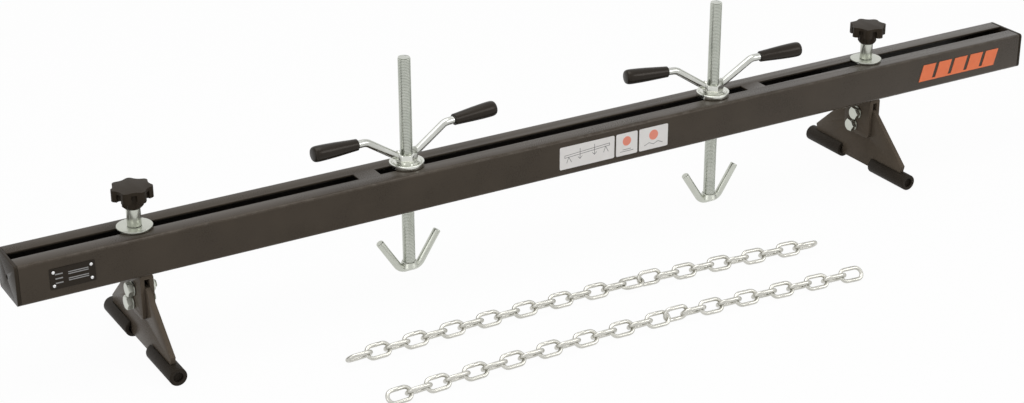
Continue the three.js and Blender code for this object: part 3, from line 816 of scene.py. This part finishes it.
for side, x in support_x.items():
    for use, (y, z) in bolt_places.items():
        washer_low, washer_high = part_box(f"{use}_washer_{side}")
        bolt_low, bolt_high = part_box(f"{use}_bolt_{side}")
        nut_low, nut_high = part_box(f"{use}_nut_{side}")
        head_seat = washer_low.x - seat_gap
        bolt = hexagon(f"{use}_bolt_{side}_head", bolt_flats, head_seat - bolt_low.x)
        place_along_x(bolt, head_seat, y, z, flip=True)
        shank_length = bolt_high.x - head_seat + bolt_pitch
        shank = threaded("shank", (0, 0, 0), shank_length, bolt_thread, bolt_pitch, 16)
        cut_away(bolt, place_along_x(shank, head_seat - bolt_pitch, y, z), operation="UNION")
        fit(bolt, f"support_{side}", zinc, f"{use}_bolt_{side}")
        ring = turned_ring(
            f"{use}_washer_{side}_ring", (0, 0, 0), (washer_high.y - washer_low.y) / 2,
            bolt_hole, washer_high.x - washer_low.x, 48,
        )
        ease_edges(ring, bolt_washer_edge)
        place_along_x(ring, washer_low.x, y, z)
        fit(ring, f"support_{side}", zinc, f"{use}_washer_{side}")
        nut = hexagon(f"{use}_nut_{side}_hexagon", bolt_flats, nut_high.x - nut_low.x, True)
        bore_height = nut_high.x - nut_low.x + 2 * overrun
        cut_away(nut, pin("bore", (0, 0, -overrun), bolt_hole, bore_height))
        place_along_x(nut, nut_low.x, y, z)
        fit(nut, f"support_{side}", zinc, f"{use}_nut_{side}")

# Foot plates
# A laser-cut steel plate that swings between the clevis legs. The lock bolt runs in its curved slot.
foot_top_drop = 42 * mm
foot_top_length = 56 * mm
foot_shoulder_drop = 103 * mm
foot_toe_drop = 110 * mm
foot_toe_inset = 2 * mm
foot_tilt = math.radians(19)
foot_edge = 0.6 * mm
foot_slot_steps = 16


def plate_along_x(name, x, thickness, outline):
    """A flat plate across X, from the points of its outline in the YZ plane."""
    made = draw_line(name, [(x - thickness / 2, y, z) for y, z in outline])
    bpy.ops.mesh.select_all(action="SELECT")
    bpy.ops.mesh.edge_face_add()
    extrude((thickness, 0, 0))
    leave_edit()
    return made


def curved_slot_cutter(x, pivot, start_angle, swept_angle, swing, half_width, reach):
    """The middle of a curved slot round a pivot in the YZ plane. Its round ends are drilled."""
    start_fresh()
    spoke = Vector((0, math.cos(start_angle), math.sin(start_angle))) * swing
    middle_place = Vector((x, *pivot)) + spoke
    bpy.ops.mesh.primitive_plane_add(size=1, location=middle_place, rotation=(start_angle, 0, 0))
    made = bpy.context.object
    made.scale = (2 * reach, 2 * half_width, 1)
    set_down(made)
    edit_all()
    spin_round(foot_slot_steps, swept_angle, (x, *pivot), (1, 0, 0))
    weld_all()
    bpy.ops.mesh.fill_holes(sides=0)
    leave_edit()
    return made


for side, x in support_x.items():
    low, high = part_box(f"foot_plate_{side}")
    shoulder = foot_top_length / 2
    half = (high.y - low.y) / 2
    toe = half - foot_toe_inset
    rear_half = [
        (toe, low.z - bar_middle.z), (toe, -foot_toe_drop),
        (half, -foot_shoulder_drop), (shoulder, -foot_top_drop),
    ]
    outline = rear_half + [(-y, z) for y, z in reversed(rear_half)]
    plate = plate_along_x(
        f"foot_plate_{side}_cut", x, foot_thick, [(bar_middle.y + y, bar_middle.z + z) for y, z in outline],
    )
    (pivot_y, pivot_z), (lock_y, lock_z) = bolt_places.values()
    swing = math.hypot(lock_y - pivot_y, lock_z - pivot_z)
    toward_lock = math.atan2(lock_z - pivot_z, lock_y - pivot_y)
    pivot = (bar_middle.y + pivot_y, bar_middle.z + pivot_z)
    cut_away(plate, cross_drill(x, *pivot, bolt_hole, foot_thick))
    cut_away(plate, curved_slot_cutter(
        x, pivot, toward_lock - foot_tilt, 2 * foot_tilt, swing, bolt_hole, foot_thick,
    ))
    for angle in (toward_lock - foot_tilt, toward_lock + foot_tilt):
        y = pivot[0] + math.cos(angle) * swing
        z = pivot[1] + math.sin(angle) * swing
        cut_away(plate, cross_drill(x, y, z, bolt_hole, foot_thick))
    ease_edges(plate, foot_edge)
    fit(plate, f"foot_{side}", steel_coat, f"foot_plate_{side}")

# Foot sleeves
# Two thick rubber boots, pushed over the plate's lower edge. Their tops are slit as far as the plate
# goes, and their outer ends are closed by a wall that stands back a little from the rim.
sleeve_bore = 12 * mm
sleeve_end_wall = 4 * mm
sleeve_end_recess = 5 * mm
sleeve_slit_gap = 1.1 * mm
sleeve_edge = 1.0 * mm
rubber_grain_size = 1.1 * mm
rubber_cloud_size = 18 * mm
rubber_grain_height = 0.05 * mm

rubber = Finish("sleeve_rubber", Specular_IOR_Level=0.2, Specular_Tint=warm_shine)
rubber_grain = rubber.noise(rubber_grain_size, 3.0)
rubber_cloud = rubber.noise(rubber_cloud_size)
rubber.shade(rubber_cloud, grey(0.008, 0.32), grey(0.014, 0.32))
rubber.set("Roughness", 0.5 + rubber_grain * 0.2)
rubber.bump(rubber_grain, rubber_grain_height)

for side, x in support_x.items():
    for end in ("rear", "front"):
        low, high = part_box(f"foot_sleeve_{end}_{side}")
        outer = (high.x - low.x) / 2
        length = high.y - low.y
        inner_end, outwards = {"rear": (low.y, 1), "front": (high.y, -1)}[end]
        bore = sleeve_bore / 2
        recess = length - sleeve_end_recess
        sleeve = turned(f"sleeve_{end}_{side}", (0, 0, 0), [
            (bore, 0), (outer, 0), (outer, length), (bore, length), (bore, recess), (0, recess),
            (0, recess - sleeve_end_wall), (bore, recess - sleeve_end_wall), (bore, 0),
        ])
        sleeve.rotation_euler = (-outwards * math.pi / 2, 0, 0)
        sleeve.location = (x, inner_end, low.z + outer)
        set_down(sleeve)
        slit = foot_thick / 2 + sleeve_slit_gap
        plate_low, plate_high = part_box(f"foot_plate_{side}")
        toe = (plate_high.y - plate_low.y) / 2 - foot_toe_inset + seat_gap
        slit_ends = sorted([inner_end - outwards * overrun, bar_middle.y + outwards * toe])
        ease_edges(sleeve, sleeve_edge, 3)
        slit_low = (x - slit, slit_ends[0], low.z + outer)
        slit_high = (x + slit, slit_ends[1], high.z + overrun)
        cut_away(sleeve, block("slit_cutter", slit_low, slit_high))
        fit(sleeve, f"foot_{side}", (rubber.material, "foot_rubber"), f"foot_sleeve_{end}_{side}")

# Spindle cups and handle nuts
# A dished washer slides on the bar, and a flanged hexagon nut turns in it and carries the two handles.
spindle_x = {side: middle(f"spindle_rod_{side}")[0] for side in ("left", "right")}
spindle_thread = 16 * mm
spindle_hole = spindle_thread / 2 + seat_gap
cup_floor = 3.4 * mm
cup_rim_width = 4 * mm
nut_flange_height = 3.5 * mm
nut_flange_slope = 1.2 * mm
nut_flange = 34 * mm
nut_hub = 24 * mm
nut_edge = 0.7 * mm
handle_turn = {"left": math.radians(4.5), "right": math.radians(-6.5)}

bright_zinc = zinc_plating("bright_zinc_plating", (0.62, 0.63, 0.58, 1), (0.72, 0.73, 0.68, 1), 0.12)


def swing_into_place(piece, x, turn, foot):
    """Turns a piece made beside the spindle's axis about it, and lifts it to its height."""
    piece.rotation_euler = (0, 0, turn)
    piece.location = (x, bar_middle.y, foot)
    return set_down(piece)


for side, x in spindle_x.items():
    low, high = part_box(f"spindle_cup_{side}")
    outer = (high.x - low.x) / 2
    rim = high.z - low.z
    cup = turned(f"cup_{side}", (x, bar_middle.y, low.z), [
        (spindle_hole, 0), (outer, 0), (outer, rim), (outer - cup_rim_width / 2, rim),
        (outer - cup_rim_width, cup_floor), (spindle_hole, cup_floor), (spindle_hole, 0),
    ], 96)
    ease_edges(cup, nut_edge, 3)
    fit(cup, f"carriage_{side}", bright_zinc, f"spindle_cup_{side}")
    low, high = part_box(f"handle_nut_{side}")
    height = high.z - low.z
    nut = turned(f"nut_{side}", (0, 0, 0), [
        (0, 0), (nut_flange / 2, 0), (nut_flange / 2, nut_flange_height - nut_flange_slope),
        (nut_hub / 2, nut_flange_height), (0, nut_flange_height),
    ], 96)
    cut_away(nut, hexagon("hub", nut_hub, height), operation="UNION")
    cut_away(nut, pin("bore", (0, 0, -overrun), spindle_hole, height + 2 * overrun))
    ease_edges(nut, nut_edge, 3)
    swing_into_place(nut, x, handle_turn[side], low.z)
    fit(nut, f"nut_{side}", bright_zinc, f"handle_nut_{side}")

# Handle rods
# Two round bars, each welded to a flat of the nut. They rise beside the spindle and bend outwards into
# the grips.
handle_thick = 10 * mm
handle_root = Vector((10, 0, 9)) * mm
handle_knee = Vector((57, 0, 40)) * mm
handle_end = Vector((124, 0, 42)) * mm
handle_bend = 16 * mm
bend_steps = 10
weld_bead = 1.7 * mm

drawn_zinc = zinc_plating("drawn_zinc_plating", (0.48, 0.485, 0.45, 1), (0.60, 0.605, 0.57, 1), 0.12)


def draw_circle(name, sides, radius, place, turn):
    """A new piece, left in edit mode, that is one circle of edges. It lies flat until turned about Y."""
    start_fresh()
    bpy.ops.mesh.primitive_circle_add(
        vertices=sides, radius=radius, fill_type="NOTHING", location=place, rotation=(0, turn, 0),
    )
    made = set_down(newest(name))
    edit_all()
    return made


def bent_bar(name, thickness, corners, bend, sides=24):
    """A round bar through corners in the XZ plane: straight runs, joined by bends of one radius."""
    headings = [math.atan2(b.z - a.z, b.x - a.x) for a, b in zip(corners, corners[1:])]
    turns = [after - before for before, after in zip(headings, headings[1:])]
    trims = [0, *[bend * math.tan(abs(turn) / 2) for turn in turns], 0]
    made = draw_circle(name, sides, thickness / 2, corners[0], math.pi / 2 - headings[0])
    for index, heading in enumerate(headings):
        way = Vector((math.cos(heading), 0, math.sin(heading)))
        run = (corners[index + 1] - corners[index]).length - trims[index] - trims[index + 1]
        extrude(way * run)
        if index < len(turns):
            sense = math.copysign(1, turns[index])
            inwards = Vector((-math.sin(heading), 0, math.cos(heading))) * sense
            centre = corners[index + 1] - way * trims[index + 1] + inwards * bend
            spin_round(bend_steps, abs(turns[index]), centre, (0, -sense, 0))
    weld_all()
    bpy.ops.mesh.fill_holes(sides=0)
    leave_edit()
    return made


for side, x in spindle_x.items():
    nut_low, nut_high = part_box(f"handle_nut_{side}")
    for hand, half_turn in (("right", 0), ("left", math.pi)):
        corners = [handle_root, handle_knee, handle_end]
        rod = bent_bar(f"handle_{hand}_{side}", handle_thick, corners, handle_bend)
        rise = (handle_knee - handle_root).normalized()
        seat = nut_hub / 2 + seat_gap
        seat_height = handle_root.z + (seat - handle_root.x) * rise.z / rise.x
        start_fresh()
        bpy.ops.mesh.primitive_torus_add(
            major_radius=handle_thick / 2, minor_radius=weld_bead, major_segments=32, minor_segments=12,
            location=(seat, 0, seat_height), rotation=(0, math.pi / 2, 0),
        )
        bead = bpy.context.object
        bead.scale = (1 / rise.x, 1, 1)
        cut_away(rod, set_down(bead), operation="UNION")
        hub_height = nut_high.z - nut_low.z + 2 * handle_thick
        cut_away(rod, prism("hub", 2 * seat, -overrun, hub_height))
        flange_height = nut_flange_height + seat_gap + overrun
        cut_away(rod, pin("flange", (0, 0, -overrun), nut_flange / 2 + seat_gap, flange_height))
        swing_into_place(rod, x, handle_turn[side] + half_turn, nut_low.z)
        fit(rod, f"nut_{side}", drawn_zinc, f"handle_rod_{hand}_{side}")

# Grips
# Smooth brown-black plastic, moulded and pushed over the rods. Each swells towards its outer end.
grip_length = 62 * mm
grip_depth = 54 * mm
grip_shares = [
    (0, 0.66), (0.012, 0.73), (0.1, 0.76), (0.3, 0.84), (0.5, 0.92), (0.7, 0.975), (0.85, 1), (0.93, 0.985),
    (0.97, 0.93), (0.99, 0.85), (1, 0.72),
]
grip_radius = 10 * mm
grip_cloud_size = 30 * mm
grip_grain_size = 0.9 * mm
grip_grain_height = 0.006 * mm

grip_plastic = Finish(
    "grip_plastic_gloss", Coat_Weight=0.08, Coat_Roughness=0.1,
    Specular_IOR_Level=0.2, Specular_Tint=warm_shine,
)
grip_cloud = grip_plastic.noise(grip_cloud_size, 1.0)
grip_grain = grip_plastic.noise(grip_grain_size, 1.0)
grip_plastic.shade(grip_cloud, grey(0.009, 0.3), grey(0.014, 0.3))
grip_plastic.set("Roughness", 0.26 + grip_cloud * 0.08)
grip_plastic.bump(grip_grain, grip_grain_height)

for side, x in spindle_x.items():
    nut_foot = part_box(f"handle_nut_{side}")[0].z
    along = (handle_end - handle_knee).normalized()
    start = handle_end - along * grip_depth
    slope = math.atan2(along.z, along.x)
    for hand, half_turn in (("right", 0), ("left", math.pi)):
        bore = handle_thick / 2 + seat_gap
        outside = [(radius * grip_radius, height * grip_length) for height, radius in grip_shares]
        inside = [(0, grip_length), (0, grip_depth + seat_gap), (bore, grip_depth + seat_gap), (bore, 0)]
        grip = turned(f"grip_{hand}_{side}", (0, 0, 0), [(bore, 0), *outside, *inside])
        grip.rotation_euler = (0, math.pi / 2 - slope, 0)
        grip.location = start
        set_down(grip)
        swing_into_place(grip, x, handle_turn[side] + half_turn, nut_foot)
        fit(grip, f"nut_{side}", (grip_plastic.material, "grip_plastic"), f"handle_grip_{hand}_{side}")

# Spindle rods
# A long rod with a shallow, broad-crested thread, rolled and zinc plated. It goes through the nut and
# both slots.
spindle_pitch = 2 * mm
broad_thread_shares = [(0, 0), (0.14, 1), (0.74, 1), (0.88, 0), (1, 0)]
broad_thread_depth_share = 0.3

rolled_zinc = zinc_plating("rolled_zinc_plating", (0.48, 0.50, 0.45, 1), (0.56, 0.575, 0.525, 1), 0.18)

for side, x in spindle_x.items():
    low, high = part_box(f"spindle_rod_{side}")
    rod = threaded(
        f"spindle_{side}_thread", (x, bar_middle.y, low.z), high.z - low.z, spindle_thread, spindle_pitch, 32,
        broad_thread_shares, broad_thread_depth_share,
    )
    fit(rod, f"spindle_{side}", rolled_zinc, f"spindle_rod_{side}")

# Hooks
# A round bar bent to a V. The spindle's foot stands on its middle, inside a low cone of weld.
hook_thick = 10 * mm
hook_flat = 26 * mm
hook_reach = 41 * mm
hook_rise = 43 * mm
hook_bend = 14 * mm
hook_weld_foot = 24 * mm
hook_weld_top = 19 * mm
hook_weld_lift = 1 * mm
hook_weld_height = 8 * mm
hook_socket_lift = 3 * mm
hook_edge = 1.1 * mm

for side, x in spindle_x.items():
    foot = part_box(f"spindle_hook_{side}")[0].z
    half_flat = hook_flat / 2
    bends = [(-hook_reach, hook_rise), (-half_flat, 0), (half_flat, 0), (hook_reach, hook_rise)]
    corners = [Vector((across, 0, up)) for across, up in bends]
    hook = bent_bar(f"hook_{side}", hook_thick, corners, hook_bend)
    ease_edges(hook, hook_edge, 3)
    foot_radius = hook_weld_foot / 2
    top_radius = hook_weld_top / 2
    weld = turned("weld", (0, 0, hook_weld_lift), [
        (0, 0), (foot_radius - hook_edge, 0), (foot_radius, hook_edge),
        (foot_radius - hook_edge / 2, 2.5 * hook_edge),
        (top_radius + hook_edge / 2, hook_weld_height - 2 * hook_edge),
        (top_radius, hook_weld_height - hook_edge / 2),
        (spindle_hole, hook_weld_height), (0, hook_weld_height),
    ])
    cut_away(hook, weld, operation="UNION")
    cut_away(hook, pin("socket", (0, 0, hook_socket_lift), spindle_hole, hook_thick + overrun))
    hook.location = (x, bar_middle.y, foot + hook_thick / 2)
    fit(hook, f"spindle_{side}", zinc, f"spindle_hook_{side}")

# Chains
# Two chains of 26 welded links of round wire. They lie on the floor, where neighbouring links lean to
# opposite sides, and each chain is rolled by a quarter turn past its middle.
chain_links = 26
chain_wire = 5 * mm
wire_sides = 16
link_bend_steps = 12
link_width = 20.5 * mm
link_pitch = 25.4 * mm
link_tilt = math.radians(45)
link_play = 0.1 * mm
chain_bow = 15 * mm
chain_roll_after = 14
chain_shapes = {
    "rear": {"drift": -28 * mm, "side": -1, "roll_links": 3},
    "front": {"drift": -19 * mm, "side": 1, "roll_links": 2},
}
link_weld_share = 1.1
link_weld_half = 0.9 * mm

chain_zinc = zinc_plating("chain_plating", (0.50, 0.495, 0.45, 1), (0.62, 0.61, 0.565, 1), 0.2, "chain_zinc")


def make_link(name):
    """One link in the XZ plane: a round wire through two straight sides and two half circles."""
    bend = (link_width - chain_wire) / 2
    length = link_pitch + 2 * chain_wire + link_play
    straight = length - link_width
    made = draw_circle(name, wire_sides, chain_wire / 2, (0, 0, -bend), math.pi / 2)
    for way in (1, -1):
        for run in ([link_weld_half, straight / 2 - link_weld_half] if way > 0 else [straight]):
            extrude((way * run, 0, 0))
        spin_round(link_bend_steps, math.pi, (way * straight / 2, 0, 0), (0, -1, 0))
    for run in (straight / 2 - link_weld_half, link_weld_half):
        extrude((run, 0, 0))
    weld_all()
    pick(made, "VERT", lambda vertex: abs(vertex.co.x) < link_weld_half / 2 and vertex.co.z < 0)
    bpy.ops.transform.resize(value=(1, link_weld_share, link_weld_share), center_override=(0, 0, -bend))
    leave_edit()
    return made


pattern = make_link("link_pattern")
for where, shape in chain_shapes.items():
    low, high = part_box(f"chain_{where}")
    span = link_pitch * (chain_links - 1)
    first_x = (low.x + high.x) / 2 - span / 2
    links = []
    for index in range(chain_links):
        share = index / (chain_links - 1)
        rolled = min(max((index - chain_roll_after) / shape["roll_links"], 0), 1) * math.pi / 2
        tilt = (link_tilt if index % 2 == 0 else -link_tilt) * shape["side"] - rolled
        slope = math.atan((shape["drift"] + chain_bow * math.pi * math.cos(math.pi * share)) / span)
        link = pattern.copy()
        link.data = pattern.data.copy()
        link.name = f"chain_{where}_link_{index + 1:02d}"
        bpy.context.scene.collection.objects.link(link)
        flat = Matrix.Rotation(math.pi / 2, 4, "X")
        link.data.transform(Matrix.Rotation(slope, 4, "Z") @ Matrix.Rotation(tilt, 4, "X") @ flat)
        lean = max(abs(math.sin(tilt)), math.sin(link_tilt))
        height = (link_width - chain_wire) / 2 * lean + chain_wire / 2
        y = shape["drift"] * share + chain_bow * math.sin(math.pi * share)
        link.location = (first_x + link_pitch * index, y, height)
        links.append(set_down(link))
    depths = [vertex.co.y for link in links for vertex in link.data.vertices]
    shift = (low.y + high.y) / 2 - (min(depths) + max(depths)) / 2
    for link in links:
        link.location.y = shift
        fit(link, f"chain_{where}", chain_zinc, f"chain_{where}")
bpy.data.objects.remove(pattern)

# Floor and light
# A plain white floor under soft studio lamps: one broad lamp overhead, one from the left and one from
# the front right.
floor_size = 12
floor_drop = 0.5 * mm
floor_cloud_size = 400 * mm
floor_white_share = 0.96
world_strength = 0.45


def seen_directly(tree):
    """1 for a ray from the camera, also by way of metal or glass, and 0 for the rays that light things."""
    light_path = tree.nodes.new("ShaderNodeLightPath")
    seen = light_path.outputs["Is Camera Ray"]
    for kind in ("Is Glossy Ray", "Is Transmission Ray"):
        either = tree.nodes.new("ShaderNodeMath")
        either.operation = "MAXIMUM"
        tree.links.new(seen, either.inputs[0])
        tree.links.new(light_path.outputs[kind], either.inputs[1])
        seen = either.outputs[0]
    return seen


def by_ray(tree, unseen_value, seen_value):
    """One value for the rays that light things, and another for those that are seen."""
    blend = tree.nodes.new("ShaderNodeMapRange")
    blend.inputs["To Min"].default_value = unseen_value
    blend.inputs["To Max"].default_value = seen_value
    tree.links.new(seen_directly(tree), blend.inputs["Value"])
    return blend.outputs[0]


def mixed_with_white(material, share):
    """Where it is seen, the surface is mostly plain white, and it keeps its shadow in the rest."""
    tree = material.node_tree
    shader = tree.nodes["Principled BSDF"]
    glow = tree.nodes.new("ShaderNodeEmission")
    mix = tree.nodes.new("ShaderNodeMixShader")
    tree.links.new(by_ray(tree, 0, share), mix.inputs[0])
    tree.links.new(shader.outputs[0], mix.inputs[1])
    tree.links.new(glow.outputs[0], mix.inputs[2])
    tree.links.new(mix.outputs[0], tree.nodes["Material Output"].inputs["Surface"])


start_fresh()
bpy.ops.mesh.primitive_plane_add(size=floor_size, location=(0, 0, -floor_drop))
floor = newest("floor")
floor_paint = Finish("floor_paint", Roughness=0.9)
floor_cloud = floor_paint.noise(floor_cloud_size)
floor_paint.shade(floor_cloud, grey(0.84), grey(0.86))
mixed_with_white(floor_paint.material, floor_white_share)
floor.data.materials.append(floor_paint.material)

world = bpy.data.worlds.new("studio")
bpy.context.scene.world = world
world.use_nodes = True
sky = world.node_tree.nodes["Background"]
sky.inputs["Color"].default_value = (1, 1, 1, 1)
world.node_tree.links.new(by_ray(world.node_tree, world_strength, 1), sky.inputs["Strength"])

lamps = {
    "overhead": ((-0.2, 0.1, 1.9), 1.6, 16),
    "left": ((-2.1, -1.1, 1.1), 1.1, 5),
    "front_right": ((1.6, -2.2, 1.5), 1.2, 14),
}
for name, (place, size, power) in lamps.items():
    lamp = bpy.data.objects.new(f"lamp_{name}", bpy.data.lights.new(f"lamp_{name}", "AREA"))
    lamp.data.size = size
    lamp.data.energy = power
    lamp.location = place
    lamp.rotation_euler = (bar_middle - Vector(place)).to_track_quat("-Z", "Y").to_euler()
    bpy.context.scene.collection.objects.link(lamp)

bpy.context.scene.view_settings.view_transform = "Standard"
